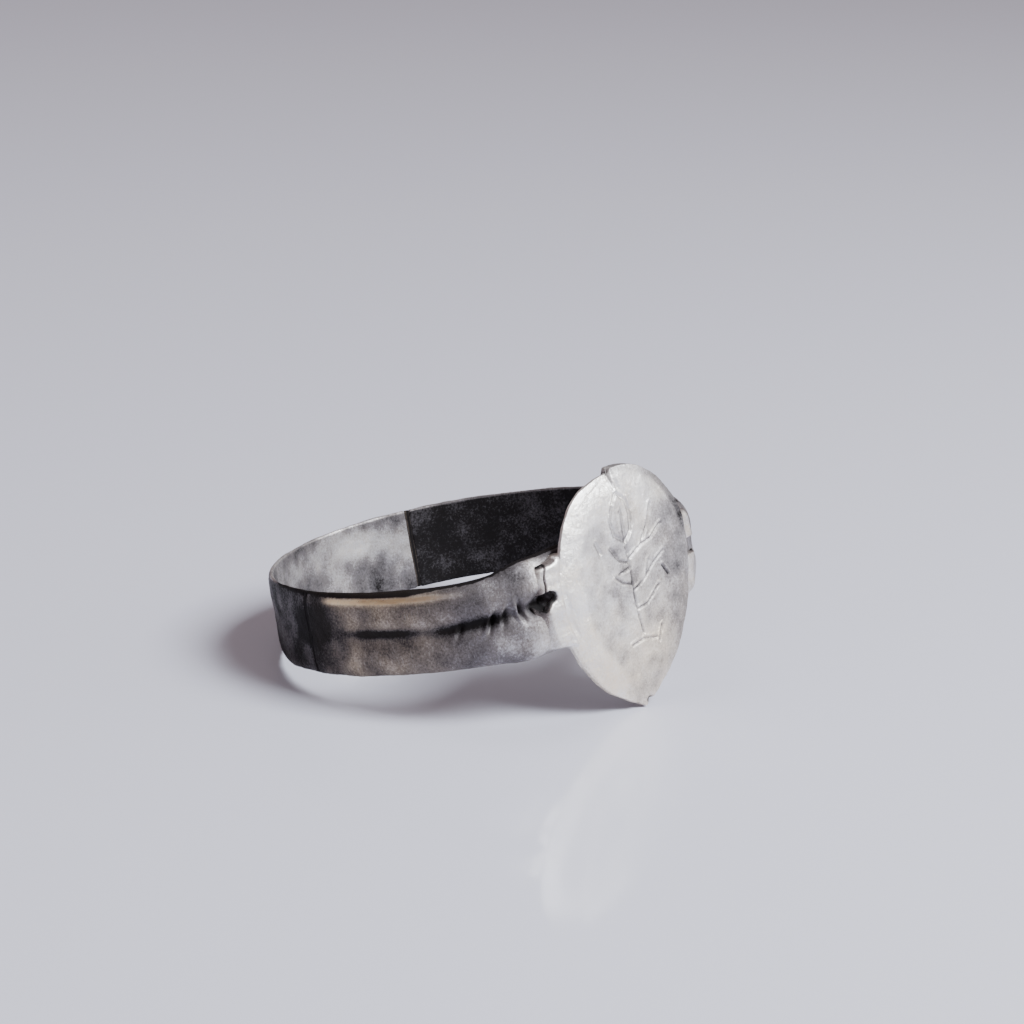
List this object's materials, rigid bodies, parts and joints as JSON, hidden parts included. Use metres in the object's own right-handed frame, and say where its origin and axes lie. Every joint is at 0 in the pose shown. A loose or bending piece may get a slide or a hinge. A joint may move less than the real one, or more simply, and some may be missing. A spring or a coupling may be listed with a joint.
{
  "type": "signet ring",
  "caption": "Hand-wrought grooved silver band with a soldered back length and a thick pointed signet plate on its flattened side",
  "frame": {"origin": "centre of the finger bore, at the middle of the band's width", "axes": "+Z along the finger, the signet plate faces -Y and its point is toward -Z, +X across the plate"},
  "size_m": [0.0198, 0.0187, 0.0112],
  "materials": {
    "dark_silver": "aged silver with dark tarnish",
    "worn_silver": "worn silver with a warm patina",
    "plate_silver": "scratched bright silver",
    "solder": "dull silver solder"
  },
  "bodies": {
    "root": {"shank": "dark_silver", "back_insert": "worn_silver", "bezel_plate": "plate_silver", "insert_solder_right": "solder", "insert_solder_left": "solder", "bezel_solder_upper_left": "solder", "bezel_solder_lower_left": "solder", "bezel_solder_upper_right": "solder", "bezel_solder_lower_right": "solder"}
  },
  "joints": []
}
